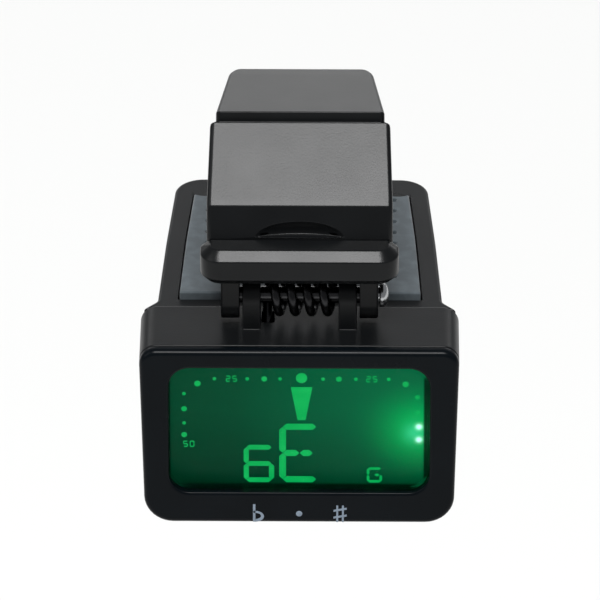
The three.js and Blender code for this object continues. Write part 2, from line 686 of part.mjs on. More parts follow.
for (const [side, x] of [["left", -SCREW_X], ["right", SCREW_X]]) {
  place(`jaw_screw_${side}`, jawScrew(), brightSteel).position.set(x, SCREW_Y, JAW_BOTTOM);
}
place("hinge_pin", hingePin(), brightSteel);
place("torsion_spring", torsionSpring(), springSteel);
place("clip_arm", clipArm(), armCharcoal);
place("upper_pad", upperPad(), padRubber);

export default tuner;
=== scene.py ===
"""Clip-on instrument tuner, held clear of a pale floor."""

import json
import math

import bmesh
import bpy
from mathutils import Matrix, Vector


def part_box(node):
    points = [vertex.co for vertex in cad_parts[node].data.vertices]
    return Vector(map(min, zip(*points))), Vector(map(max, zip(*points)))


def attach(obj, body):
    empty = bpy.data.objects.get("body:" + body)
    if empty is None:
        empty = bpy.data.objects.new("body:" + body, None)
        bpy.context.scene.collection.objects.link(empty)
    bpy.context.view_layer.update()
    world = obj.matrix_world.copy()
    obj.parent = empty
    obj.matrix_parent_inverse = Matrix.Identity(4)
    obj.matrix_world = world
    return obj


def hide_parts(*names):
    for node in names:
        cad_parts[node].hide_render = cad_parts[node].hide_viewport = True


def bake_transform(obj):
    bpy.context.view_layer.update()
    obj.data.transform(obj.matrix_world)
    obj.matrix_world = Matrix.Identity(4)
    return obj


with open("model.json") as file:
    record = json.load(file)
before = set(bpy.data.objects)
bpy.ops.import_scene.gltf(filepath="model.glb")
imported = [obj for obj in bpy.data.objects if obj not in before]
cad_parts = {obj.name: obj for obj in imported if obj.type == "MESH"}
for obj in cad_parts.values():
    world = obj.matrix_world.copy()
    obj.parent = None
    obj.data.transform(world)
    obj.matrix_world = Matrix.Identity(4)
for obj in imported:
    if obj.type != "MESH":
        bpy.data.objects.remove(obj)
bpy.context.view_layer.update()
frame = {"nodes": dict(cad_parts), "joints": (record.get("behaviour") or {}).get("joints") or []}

MM = 0.001
FINE = 10  # segments in a rounded corner
WIRE_END = [(0.35, 0), (0.7, 0.07), (0.93, 0.25), (1, 0.5)]  # (radius, position), per wire radius


def mm(node):
    """A CAD node's lowest and highest corners in millimetres."""
    low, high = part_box(node)
    return [c / MM for c in low], [c / MM for c in high]


def pivot(name):
    """A point on a hinge's axis in millimetres."""
    joint = next(j for j in frame["joints"] if j["name"] == name)
    return [c / MM for c in joint["pos_m"]]


# ---------- places read from the frame, in millimetres ----------
BEZEL_LOW, BEZEL_HIGH = mm("front_bezel")
HOUSING_LOW, HOUSING_HIGH = mm("rear_housing")
LCD_FRONT = mm("lcd_panel")[0][1]
ARM_TIP = mm("clip_arm")[1][1]
HINGE = pivot("arm_hinge")
DOOR_PIVOT = pivot("door_hinge")


# ---------- mesh building ----------
def outline(corners, arc=FINE):
    """Points of a polygon of (u, v, radius) corners, each rounded by its radius."""
    count = len(corners)
    spots = [Vector(c[:2]) for c in corners]
    rounded = []
    for i, (_, _, radius) in enumerate(corners):
        corner = spots[i]
        to_last = (spots[i - 1] - corner).normalized()
        to_next = (spots[(i + 1) % count] - corner).normalized()
        if radius <= 0:
            rounded.append([corner])
            continue
        half = to_last.angle(to_next) / 2
        centre = corner + (to_last + to_next).normalized() * (radius / math.sin(half))
        first = corner + to_last * (radius / math.tan(half)) - centre
        last = corner + to_next * (radius / math.tan(half)) - centre
        sweep = first.angle_signed(last)
        turns = [Matrix.Rotation(-sweep * k / arc, 2) for k in range(arc + 1)]
        rounded.append([centre + turn @ first for turn in turns])
    return [point for bend in rounded for point in bend]


def inset(corners, depth):
    """The same polygon with every side moved in by depth. Corners run counter-clockwise."""
    count = len(corners)
    spots = [Vector(c[:2]) for c in corners]
    least_radius = 0.02
    least_slant = 0.2  # holds a very sharp corner back
    moved = []
    for i, (_, _, radius) in enumerate(corners):
        before = (spots[i] - spots[i - 1]).normalized()
        after = (spots[(i + 1) % count] - spots[i]).normalized()
        normal = Vector((-before.y, before.x)) + Vector((-after.y, after.x))
        reach = depth / max(normal.normalized().dot(Vector((-before.y, before.x))), least_slant)
        spot = spots[i] + normal.normalized() * reach
        turn = before.x * after.y - before.y * after.x
        grown = radius - depth if turn > 0 else radius + depth
        moved.append((spot.x, spot.y, max(grown, least_radius) if radius > 0 else 0))
    return moved


def both_sides(half):
    """A left-right symmetric polygon from the corners of its right half, listed upwards."""
    return half + [(-u, v, radius) for u, v, radius in reversed(half)]


def solid(name, rings):
    """A closed mesh object skinned over rings of equally many points, in millimetres."""
    mesh = bmesh.new()
    loops = [[mesh.verts.new([c * MM for c in point]) for point in ring] for ring in rings]
    for near, far in zip(loops, loops[1:]):
        for i, vert in enumerate(near):
            mesh.faces.new((near[i - 1], vert, far[i], far[i - 1]))
    mesh.faces.new(loops[0])
    mesh.faces.new(list(reversed(loops[-1])))
    bmesh.ops.recalc_face_normals(mesh, faces=mesh.faces)
    data = bpy.data.meshes.new(name)
    mesh.to_mesh(data)
    mesh.free()
    obj = bpy.data.objects.new(name, data)
    bpy.context.collection.objects.link(obj)
    return obj


# Each of these places a profile's point (u, v) at the position w along one axis.
def along_x(u, v, w):
    return (w, u, v)


def along_y(u, v, w):
    return (u, w, v)


def along_z(u, v, w):
    return (u, v, w)


def slab(name, corners, place, start, end, edges=(0, 0), arc=FINE):
    """A prism from start to end, whose two end edges are rounded by the radii in edges."""
    steps = 6
    rings = []
    for radius, face, inward in ((edges[0], start, 1), (edges[1], end, -1)):
        turns = [math.pi / 2 * k / steps for k in range(steps + 1)] if radius else [math.pi / 2]
        edge = []
        for turn in turns:
            depth = radius * (1 - math.sin(turn))
            w = face + inward * radius * (1 - math.cos(turn))
            edge.append([place(u, v, w) for u, v in outline(inset(corners, depth), arc)])
        rings += edge if inward > 0 else edge[::-1]
    return solid(name, rings)


def turned(name, place, u, v, profile, sides=64):
    """A turned part about the line (u, v), skinned over (radius, position along the line) pairs."""
    turns = [2 * math.pi * k / sides for k in range(sides)]
    rings = []
    for radius, w in profile:
        rings.append([place(u + radius * math.cos(a), v + radius * math.sin(a), w) for a in turns])
    return solid(name, rings)


def stack(name, place, sections):
    """A solid skinned over (position, corners) sections."""
    return solid(name, [[place(u, v, w) for u, v in outline(corners)] for w, corners in sections])


def rectangle(u0, u1, v0, v1, radius=0):
    return [(u1, v0, radius), (u1, v1, radius), (u0, v1, radius), (u0, v0, radius)]


def wire(name, points, radius):
    """A round wire through the points, with rounded ends."""
    sides = 16
    turns = [2 * math.pi * k / sides for k in range(sides)]
    side = Vector((1, 0, 0))
    last = len(points) - 1
    rings = []
    for i, point in enumerate(points):
        ahead = (points[min(i + 1, last)] - points[max(i - 1, 0)]).normalized()
        side = (side - ahead * side.dot(ahead)).normalized()
        up = ahead.cross(side)
        spokes = [(side * math.cos(a) + up * math.sin(a)) * radius for a in turns]
        steps = [(1, 0)]
        if i == 0:
            steps = WIRE_END
        if i == last:
            steps = [(reach, -shift) for reach, shift in reversed(WIRE_END)]
        for reach, shift in steps:
            centre = point + ahead * shift * radius
            rings.append([centre + spoke * reach for spoke in spokes])
    return solid(name, rings)


def bake_modifiers(obj):
    """Makes the modifiers' result the object's own mesh."""
    graph = bpy.context.evaluated_depsgraph_get()
    obj.data = bpy.data.meshes.new_from_object(obj.evaluated_get(graph))
    obj.modifiers.clear()


def combine(obj, operation, *others):
    """UNION joins the others to obj, DIFFERENCE cuts them away and INTERSECT keeps what they share."""
    for other in others:
        step = obj.modifiers.new("combine", "BOOLEAN")
        step.operation = operation
        step.solver = "EXACT"
        step.object = other
    bake_modifiers(obj)
    for other in others:
        bpy.data.objects.remove(other)
    return obj


def merge_slivers(obj, length_mm):
    """Closes up the very short edges that a cut leaves."""
    mesh = bmesh.new()
    mesh.from_mesh(obj.data)
    bmesh.ops.dissolve_degenerate(mesh, dist=length_mm * MM, edges=mesh.edges)
    mesh.to_mesh(obj.data)
    mesh.free()


def soften_edges(obj, width_mm, segments=3, angle=32):
    """Small rounded edges, as every moulded or pressed edge has."""
    bevel = obj.modifiers.new("edges", "BEVEL")
    bevel.width = width_mm * MM
    bevel.segments = segments
    bevel.limit_method = "ANGLE"
    bevel.angle_limit = math.radians(angle)
    bevel.use_clamp_overlap = False
    bevel.miter_outer = "MITER_ARC"
    bake_modifiers(obj)
    obj.data.shade_smooth()
    weigh = obj.modifiers.new("normals", "WEIGHTED_NORMAL")
    weigh.keep_sharp = True
    bake_modifiers(obj)


def finish_piece(obj, node, material, body):
    """The piece takes a CAD node's place."""
    obj.data.materials.clear()
    obj.data.materials.append(material)
    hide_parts(node)
    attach(obj, body)


# ---------- hinge sizes shared by several pieces ----------
BARREL_RADIUS = 2.1
CHEEK_OUTER = 6.95
CHEEK_INNER = 5.3
PIN_RADIUS = 0.75
COIL_RADIUS = 1.55
COIL_PITCH = 1.42
COIL_TURNS = 4


# ---------- the clip's upper arm ----------
LIP_TOP = 8.4
ARM_SIDE = [
    (-15.1, 5.2, 0),
    (-11.6, 5.2, 0),
    (-10.5, 5.9, 0.5),
    (-9.85, 11.8, 0.8),
    (-7.7, 14, 0.3),
    (ARM_TIP - 1.8, 14, 0),
    (ARM_TIP, 14, 0.2),
    (ARM_TIP, 15.3, 0.95),
    (ARM_TIP - 2.2, 15.635, 0),
    (-7.55, 17, 0.25),
    (-7.7, 15.95, 0),
    (-7.95, 15.95, 0),
    (-8.2, 16.42, 0.2),
    (-14.1, 11.05, 0.25),
    (-15.1, LIP_TOP, 0),
]
ARM_HALF_WIDTHS = [(-17, 8.2), (-13.6, 8.2), (-7.95, 7.95), (-7.7, 7.5), (ARM_TIP, 6.3)]
TIP_CORNER = 1.8


def arm_half_width(y):
    """Half the arm's width at y, with the corners at its tip rounded."""
    half = ARM_HALF_WIDTHS[0][1]
    for (y0, half0), (y1, half1) in zip(ARM_HALF_WIDTHS, ARM_HALF_WIDTHS[1:]):
        if y >= y0:
            half = half0 + (half1 - half0) * min((y - y0) / (y1 - y0), 1)
    into_corner = max(y - (ARM_TIP - TIP_CORNER), 0)
    return half - TIP_CORNER + math.sqrt(max(TIP_CORNER**2 - into_corner**2, 0))


def arm_body():
    """The arm's bent plate with rounded side edges, tapered in plan."""
    edge = 0.45
    full = ARM_HALF_WIDTHS[0][1]
    arm = slab("arm", ARM_SIDE, along_x, -full, full, (edge, edge))
    mesh = bmesh.new()
    mesh.from_mesh(arm.data)
    tip_turns = [math.pi / 2 * k / FINE for k in range(FINE)]
    cuts = [y for y, _ in ARM_HALF_WIDTHS[1:-1]]
    cuts += [ARM_TIP - TIP_CORNER + TIP_CORNER * math.sin(a) for a in tip_turns]
    for y in cuts:
        everything = mesh.verts[:] + mesh.edges[:] + mesh.faces[:]
        bmesh.ops.bisect_plane(mesh, geom=everything, plane_co=(0, y * MM, 0), plane_no=(0, 1, 0))
    for vert in mesh.verts:
        narrower = (full - arm_half_width(vert.co.y / MM)) * MM
        vert.co.x -= math.copysign(narrower, vert.co.x)
    mesh.to_mesh(arm.data)
    mesh.free()
    return arm


def finger_scoop():
    """The shallow hollow above the lip, as the solid to cut away."""
    half, radius, steps = 5, 1.9, 36
    turns = [math.pi * k / steps for k in range(1, steps)]
    profile = [(radius * math.sin(a), half * math.cos(a)) for a in turns]
    scoop = turned("scoop", along_x, -16.2, LIP_TOP + 0.35, profile, 32)
    above_lip = slab("above_lip", rectangle(-9, 9, -20, -12), along_z, LIP_TOP, 12)
    return combine(scoop, "INTERSECT", above_lip)


def finger_lip():
    """The bar that the fingers press, with a broad chamfer along its upper edge."""
    plan = both_sides([(8.75, -18.2, 1.8), (8.75, -14.6, 0.9)])
    low_edge = [(5.1, inset(plan, 0.7)), (5.8, plan)]
    high_edge = [(LIP_TOP - 0.79, plan), (LIP_TOP, inset(plan, 0.86))]
    return stack("lip", along_z, low_edge + high_edge)


def hinge_neck():
    """The block that becomes two cheeks round the pin once the space between them is cut away."""
    side = [
        (HINGE[1] - BARREL_RADIUS, HINGE[2] - BARREL_RADIUS, BARREL_RADIUS - 0.01),
        (HINGE[1] + BARREL_RADIUS, HINGE[2] - BARREL_RADIUS, BARREL_RADIUS - 0.01),
        (HINGE[1] + BARREL_RADIUS, 3.4, 0),
        (-11.2, 5.3, 0),
        (-11.2, 6, 0),
        (HINGE[1] - BARREL_RADIUS, 6, 0),
    ]
    return slab("neck", side, along_x, -CHEEK_OUTER, CHEEK_OUTER, (0.2, 0.2))


def arm_pocket():
    """The hollow in the arm's underside."""
    side = [
        (-14.9, 4.5, 0),
        (-11.3, 4.5, 0),
        (-11.3, 9.2, 0),
        (-9.2, 9.2, 0),
        (-9.2, 12.6, 0),
        (-7.9, 14, 0),
        (-8.4, 14.1, 0),
        (-13, 9.8, 0.6),
        (-13.6, 8.3, 0),
        (-14.9, 7.1, 0),
    ]
    return slab("pocket", side, along_x, -6.5, 6.5)


def clip_arm():
    """The upper jaw: a bent arm with a finger lip behind and two cheeks that hold the pin."""
    arm = arm_body()
    combine(arm, "DIFFERENCE", finger_scoop())
    combine(arm, "UNION", finger_lip(), hinge_neck())
    gap_side = [(-17, 0, 0), (-10, 0, 0), (-10, 4.95, 0), (-17, 4.95, 0)]
    between = slab("between", gap_side, along_x, -CHEEK_INNER, CHEEK_INNER)
    bore_radius = PIN_RADIUS + 0.25
    bore = turned("bore", along_x, HINGE[1], HINGE[2], [(bore_radius, -8), (bore_radius, 8)])
    combine(arm, "DIFFERENCE", between, arm_pocket(), bore)
    merge_slivers(arm, 0.04)
    soften_edges(arm, 0.1, angle=22)
    arm.name = "upper_jaw"
    finish_piece(arm, "clip_arm", ARM_PLASTIC, "arm")


# ---------- material building ----------
class Look:
    """A Principled material and short ways to add to its nodes."""

    def __init__(self, name, color, roughness, **sockets):
        self.mat = bpy.data.materials.new(name)
        self.mat.use_nodes = True
        self.tree = self.mat.node_tree
        self.shader = self.tree.nodes["Principled BSDF"]
        self.set("Base Color", (*color, 1))
        self.set("Roughness", roughness)
        for socket, value in sockets.items():
            self.set(socket.replace("_", " "), value)
        self.place = self.add("ShaderNodeTexCoord").outputs["Object"]  # in metres

    def set(self, socket, value):
        """Gives a shader socket a constant value."""
        self.shader.inputs[socket].default_value = value

    def add(self, kind, **settings):
        """A new node with its settings."""
        node = self.tree.nodes.new(kind)
        for key, value in settings.items():
            setattr(node, key, value)
        return node

    def link(self, source, target):
        self.tree.links.new(source, target)

    def feed(self, socket, source):
        """Links a node's output to a socket of the shader."""
        self.link(source, self.shader.inputs[socket])

    def math(self, operation, *values, clamp=False):
        """A math node over numbers and other nodes' outputs."""
        node = self.add("ShaderNodeMath", operation=operation, use_clamp=clamp)
        for i, value in enumerate(values):
            if isinstance(value, (int, float)):
                node.inputs[i].default_value = value
            else:
                self.link(value, node.inputs[i])
        return node.outputs[0]

    def noise(self, size_mm, detail=3, where=None):
        """Noise from 0 to 1 whose spots are about size_mm across."""
        node = self.add("ShaderNodeTexNoise")
        node.inputs["Scale"].default_value = 1 / (size_mm * MM)
        node.inputs["Detail"].default_value = detail
        self.link(where or self.place, node.inputs["Vector"])
        return node.outputs["Fac"]

    def ramp(self, source, *stops):
        """A colour ramp with stops of (position, colour)."""
        node = self.add("ShaderNodeValToRGB")
        elements = node.color_ramp.elements
        while len(elements) < len(stops):
            elements.new(0.5)
        for element, (position, color) in zip(elements, stops):
            element.position = position
            element.color = (*color, 1)
        self.link(source, node.inputs["Fac"])
        return node.outputs["Color"]

    def scale(self, source, low, high):
        """source from 0..1 to low..high."""
        node = self.add("ShaderNodeMapRange")
        node.inputs["To Min"].default_value = low
        node.inputs["To Max"].default_value = high
        self.link(source, node.inputs["Value"])
        return node.outputs["Result"]

    def part_of_way(self, value, start, end):
        """0 at start, 1 at end, and held at those beyond them."""
        return self.math("DIVIDE", self.math("SUBTRACT", value, start), end - start, clamp=True)

    def times(self, color, amount):
        """A colour, or a colour output, made brighter or darker by an amount."""
        node = self.add("ShaderNodeVectorMath", operation="SCALE")
        if isinstance(color, tuple):
            node.inputs[0].default_value = color
        else:
            self.link(color, node.inputs[0])
        self.link(amount, node.inputs["Scale"])
        return node.outputs[0]

    def total(self, *colors):
        """The sum of colour outputs."""
        result = colors[0]
        for color in colors[1:]:
            node = self.add("ShaderNodeVectorMath", operation="ADD")
            self.link(result, node.inputs[0])
            self.link(color, node.inputs[1])
            result = node.outputs[0]
        return result

    def bump(self, height, depth_mm):
        """Adds relief to whatever relief the material already has."""
        node = self.add("ShaderNodeBump")
        node.inputs["Strength"].default_value = 1.0
        node.inputs["Distance"].default_value = depth_mm * MM
        self.link(height, node.inputs["Height"])
        previous = self.shader.inputs["Normal"]
        if previous.is_linked:
            self.link(previous.links[0].from_socket, node.inputs["Normal"])
        self.link(node.outputs["Normal"], previous)


def moulded_plastic(name, color, roughness, specular, spread=0.06, grain_mm=0.16, depth_mm=0.006):
    """Injection-moulded plastic: fine spark-eroded grain, faint mottling and handling marks."""
    look = Look(name, color, roughness, Specular_IOR_Level=specular)
    mottle = look.noise(5)
    dark = [c * 0.86 for c in color]
    light = [c * 1.16 for c in color]
    look.feed("Base Color", look.ramp(mottle, (0.3, dark), (0.7, light)))
    smudge = look.noise(2.4, detail=6)
    look.feed("Roughness", look.scale(smudge, roughness - spread, roughness + spread))
    look.bump(look.noise(grain_mm, detail=2), depth_mm)
    return look.mat


def brushed_metal(name, color, roughness):
    """Drawn or pressed metal with fine scratches and a little tarnish."""
    look = Look(name, color, roughness, Metallic=1.0)
    stretch = look.add("ShaderNodeMapping")
    stretch.inputs["Scale"].default_value = (0.08, 1, 1)
    look.link(look.place, stretch.inputs["Vector"])
    scratches = look.noise(0.08, detail=4, where=stretch.outputs["Vector"])
    look.feed("Roughness", look.scale(scratches, roughness - 0.08, roughness + 0.12))
    tarnish = look.noise(1.5, detail=5)
    dull = [c * 0.72 for c in color]
    look.feed("Base Color", look.ramp(tarnish, (0.35, dull), (0.6, color)))
    look.bump(scratches, 0.002)
    return look.mat


def soft_rubber(name, color):
    """Moulded rubber with a powdery surface and a fine tooth."""
    roughness = 0.72
    look = Look(name, color, roughness, Specular_IOR_Level=0.35, Sheen_Weight=0.25, Sheen_Roughness=0.5)
    dust = look.noise(1.2, detail=6)
    pale = [c * 1.5 + 0.004 for c in color]
    look.feed("Base Color", look.ramp(dust, (0.42, color), (0.75, pale)))
    look.feed("Roughness", look.scale(dust, roughness - 0.08, roughness + 0.1))
    look.bump(look.noise(0.12, detail=3), 0.008)
    return look.mat


ARM_PLASTIC = moulded_plastic("arm_plastic", (0.005, 0.0055, 0.006), 0.29, 0.16, spread=0.02)
CASE_PLASTIC = moulded_plastic("case_plastic", (0.0045, 0.005, 0.0055), 0.35, 0.18)
BEZEL_PLASTIC = moulded_plastic(
    "bezel_plastic", (0.0018, 0.003, 0.0042), 0.26, 0.08, spread=0.04, grain_mm=0.3, depth_mm=0.002
)
PAD_RUBBER = soft_rubber("pad_rubber", (0.06, 0.074, 0.083))
BUTTON_RUBBER = soft_rubber("button_rubber", (0.018, 0.019, 0.021))
STEEL = brushed_metal("plated_steel", (0.62, 0.63, 0.65), 0.22)


def pin_steel():
    """Steel painted near black along its shank, as painted shade under the lip, and bright at its ends, so
    that the right end glints.
    """
    # painted shade: the dark colour stands in for the shade that falls on the shank under the lip
    black, bright = (0.05, 0.05, 0.052), (0.5, 0.51, 0.52)
    bright_from = 6.65
    look = Look("pin_steel", black, 0.2, Metallic=1.0)
    split = look.add("ShaderNodeSeparateXYZ")
    look.link(look.place, split.inputs[0])
    from_middle = look.math("ABSOLUTE", split.outputs["X"])
    # a ragged edge where the painted-shade shank meets the bright ends
    ragged_boundary = look.math("MULTIPLY", look.noise(0.5, detail=5), 0.6 * MM)
    ends = look.math("GREATER_THAN", look.math("SUBTRACT", from_middle, ragged_boundary), bright_from * MM)
    look.feed("Base Color", look.ramp(ends, (0.0, black), (1.0, bright)))
    look.feed("Roughness", look.scale(look.noise(0.3, detail=4), 0.14, 0.3))
    look.bump(look.noise(0.1, detail=4), 0.001)
    return look.mat


PIN_STEEL = pin_steel()
# near-black spring: partly blackened steel, partly painted shade for the hinge under the lip
SPRING_STEEL = brushed_metal("spring_steel", (0.035, 0.035, 0.037), 0.24)
BRASS = brushed_metal("piezo_brass", (0.75, 0.54, 0.22), 0.3)


def board_mask():
    """Solder mask over copper: tracks show as lighter green lines."""
    look = Look("circuit_board", (0.012, 0.09, 0.035), 0.3)
    cells = look.add("ShaderNodeTexVoronoi", feature="DISTANCE_TO_EDGE", distance="MANHATTAN")
    cells.inputs["Scale"].default_value = 1 / (1.6 * MM)
    look.link(look.place, cells.inputs["Vector"])
    tracks = look.ramp(cells.outputs["Distance"], (0.02, (0.03, 0.17, 0.07)), (0.05, (0.01, 0.085, 0.03)))
    look.feed("Base Color", tracks)
    look.bump(look.noise(0.3), 0.01)
    return look.mat


def speckled(name, color, roughness):
    """A plain-coloured small part whose surface isn't quite even."""
    contrast = 0.15
    look = Look(name, color, roughness)
    spots = look.noise(0.3, detail=4)
    dark = [c * (1 - contrast) for c in color]
    light = [min(c * (1 + contrast), 1) for c in color]
    look.feed("Base Color", look.ramp(spots, (0.35, dark), (0.65, light)))
    look.bump(spots, 0.006)
    return look.mat


BOARD = board_mask()
CHIP = speckled("chip_resin", (0.012, 0.012, 0.013), 0.55)
CERAMIC = speckled("piezo_ceramic", (0.7, 0.67, 0.6), 0.5)
REFLECTOR = speckled("reflector", (0.85, 0.85, 0.83), 0.5)
STRIP_RUBBER = speckled("strip_rubber", (0.09, 0.1, 0.11), 0.6)
RED_LEAD = speckled("red_insulation", (0.42, 0.015, 0.012), 0.4)
BLACK_LEAD = speckled("black_insulation", (0.01, 0.01, 0.01), 0.4)
ACRYLIC = speckled("acrylic", (0.75, 0.92, 0.82), 0.15)
PAINT = speckled("sign_paint", (0.17, 0.215, 0.27), 0.5)


# ---------- the screen ----------
def screen_look():
    """The lit LCD: a green field that fades to the left, away from two LEDs at its right side."""
    look = Look("lcd", (0.0, 0.004, 0.002), 0.3, Specular_IOR_Level=0.05)
    led_x = 10.6
    led_z = (-8.73, -10.05)
    left, right, bottom, top = -11.5, 11.1, -14.75, -2.1
    split = look.add("ShaderNodeSeparateXYZ")
    look.link(look.place, split.inputs[0])
    x = look.math("DIVIDE", split.outputs["X"], MM)
    z = look.math("DIVIDE", split.outputs["Z"], MM)

    def away_from(to_x, to_z):
        return look.math("SUBTRACT", x, to_x), look.math("SUBTRACT", z, to_z)

    def spot(to_x, to_z, width):
        """A soft round spot of light, 1 in its middle."""
        squares = [look.math("MULTIPLY", d, d) for d in away_from(to_x, to_z)]
        ratio = look.math("DIVIDE", look.math("ADD", *squares), -(width**2))
        return look.math("EXPONENT", ratio)

    field = look.ramp(
        look.part_of_way(x, left, -left),
        (0.0, (0.0, 0.050, 0.0185)),
        (0.25, (0.0, 0.059, 0.022)),
        (0.5, (0.0, 0.088, 0.032)),
        (0.75, (0.0, 0.112, 0.040)),
    )
    downwards = look.ramp(
        look.part_of_way(z, -15, -2),
        (0.0, (0.3, 0.3, 0.3)),
        (0.15, (0.58, 0.58, 0.58)),
        (0.45, (0.86, 0.86, 0.86)),
        (0.62, (1.0, 1.0, 1.0)),
    )
    led_middle = sum(led_z) / 2
    dx, dz = away_from(led_x, led_middle)
    ray = look.add("ShaderNodeCombineXYZ")
    look.link(look.math("ARCTAN2", dz, dx), ray.inputs["X"])
    rays = look.scale(look.noise(1000 / 30, detail=2, where=ray.outputs[0]), 0.86, 1.14)
    halo = look.math("MULTIPLY", spot(led_x, led_middle, 3.1), downwards)
    light = look.total(
        look.times(look.times(field, downwards), rays),
        look.times((0.0, 0.38, 0.065), halo),
        look.times((0.03, 0.2, 0.16), spot(led_x - 0.35, led_middle, 0.95)),
        *[look.times((0.8, 1.2, 1.2), spot(led_x, z_led, 0.26)) for z_led in led_z],
    )
    # the lit field dims along its borders: partly the screen's unlit margin, partly painted shadow of the
    # window's rim
    edges = [
        look.part_of_way(x, left, left + 0.15),
        look.part_of_way(x, right, right - 0.15),
        look.part_of_way(z, bottom, bottom + 0.25),
        look.part_of_way(z, top, top - 0.2),
    ]
    inside = edges[0]
    for edge in edges[1:]:
        inside = look.math("MINIMUM", inside, edge)
    lit = look.times(light, look.scale(inside, 0.08, 1.0))
    look.feed("Emission Color", lit)
    look.set("Emission Strength", 1.0)
    look.bump(look.noise(0.2), 0.001)
    return look.mat


def segment_look():
    """The LCD's lit segments."""
    look = Look("lcd_segment", (0.0, 0.02, 0.005), 0.4, Specular_IOR_Level=0.05)
    glow = look.noise(1.5)
    look.feed("Emission Color", look.ramp(glow, (0.3, (0.0, 0.36, 0.075)), (0.7, (0.005, 0.46, 0.10))))
    look.set("Emission Strength", 1.0)
    return look.mat


def lens_look():
    """Clear, hard-coated plastic over the screen."""
    look = Look("lens", (0.98, 1.0, 0.99), 0.01, IOR=1.05, Transmission_Weight=1.0)
    haze = look.noise(3, detail=5)
    look.feed("Roughness", look.scale(haze, 0.0, 0.02))
    return look.mat


def led_look():
    """The two lamps beside the screen."""
    look = Look("led", (0.8, 0.95, 0.9), 0.3)
    hot = look.noise(0.4)
    look.feed("Emission Color", look.ramp(hot, (0.3, (0.5, 1.0, 0.8)), (0.7, (0.7, 1.0, 0.9))))
    look.set("Emission Strength", 1.0)
    return look.mat


LCD = screen_look()
SEGMENT = segment_look()
LENS = lens_look()
LED = led_look()


# ---------- display case ----------
CASE_LOW = HOUSING_LOW[2]
CASE_HIGH = BEZEL_HIGH[2]
CASE_FRONT = BEZEL_LOW[1]
CASE_BACK = -12.2
WALL = 1.4
CASE = both_sides([(13.7, CASE_LOW, 2.6), (HOUSING_HIGH[0], CASE_HIGH, 1.5)])
WINDOW = rectangle(-11.55, 11.55, -14.6, -1.9, 1.9)
JAW_END = HOUSING_HIGH[1]
JAW_BOTTOM = -7.9
SCREWS = [(-8.7, 9.2), (8.7, 9.2)]
DOOR_HALF = 10.2
BUTTON_X = 5
BUTTON_Y = -15.6


def jaw_plan(flare, front):
    """The lower jaw seen from above. It widens by flare where it meets the case."""
    wide = 12.65
    root = [(wide + flare, front, 0), (wide, front + 1.4, 1.2)] if flare else [(wide, front, 0)]
    return both_sides(root + [(12.1, 0, 150), (11.3, JAW_END, 2.6)])


def front_bezel():
    """The frame round the window, with a tongue that goes into the case."""
    paint = 0.02
    bezel = slab("bezel", CASE, along_y, CASE_FRONT + paint, CASE_FRONT + 1, (0.55, 0.1))
    tongue = slab("tongue", inset(CASE, WALL - 0.6), along_y, CASE_FRONT + 0.5, CASE_FRONT + 1.8)
    hollow = slab("hollow", inset(CASE, WALL - 0.1), along_y, CASE_FRONT - 1, CASE_FRONT + 3)
    combine(tongue, "DIFFERENCE", hollow)
    combine(bezel, "UNION", tongue)
    flare = 0.35
    sloped = 0.2
    rim = [
        (CASE_FRONT - sloped, inset(WINDOW, -2 * flare)),
        (CASE_FRONT, inset(WINDOW, -flare)),
        (CASE_FRONT + sloped, WINDOW),
        (CASE_FRONT + 3, WINDOW),
    ]
    combine(bezel, "DIFFERENCE", stack("window", along_y, rim))
    soften_edges(bezel, 0.07)
    bezel.name = "display_bezel"
    finish_piece(bezel, "front_bezel", BEZEL_PLASTIC, "housing")


def window_lens():
    """A clear window with a flange behind the bezel."""
    flange = slab("flange", rectangle(-12.1, 12.1, -15.4, -1.65, 0.8), along_y, -19.35, -18.75)
    lens = slab("lens", inset(WINDOW, 0.2), along_y, CASE_FRONT + 0.45, -19, (0.12, 0))
    combine(lens, "UNION", flange)
    soften_edges(lens, 0.04, segments=2)
    lens.name = "display_window"
    finish_piece(lens, "window_lens", LENS, "housing")


def hinge_lugs():
    """The case's two ears, which stand inside the arm's cheeks and hold the pin."""
    side = [
        (HINGE[1] - BARREL_RADIUS, CASE_HIGH - 0.5, 0),
        (HINGE[1] + BARREL_RADIUS, CASE_HIGH - 0.5, 0),
        (HINGE[1] + BARREL_RADIUS, HINGE[2] + BARREL_RADIUS, BARREL_RADIUS - 0.01),
        (HINGE[1] - BARREL_RADIUS, HINGE[2] + BARREL_RADIUS, BARREL_RADIUS - 0.01),
    ]
    return [slab("lug", side, along_x, x0, x0 + 1.6, (0.15, 0.15)) for x0 in (-5.05, 3.45)]


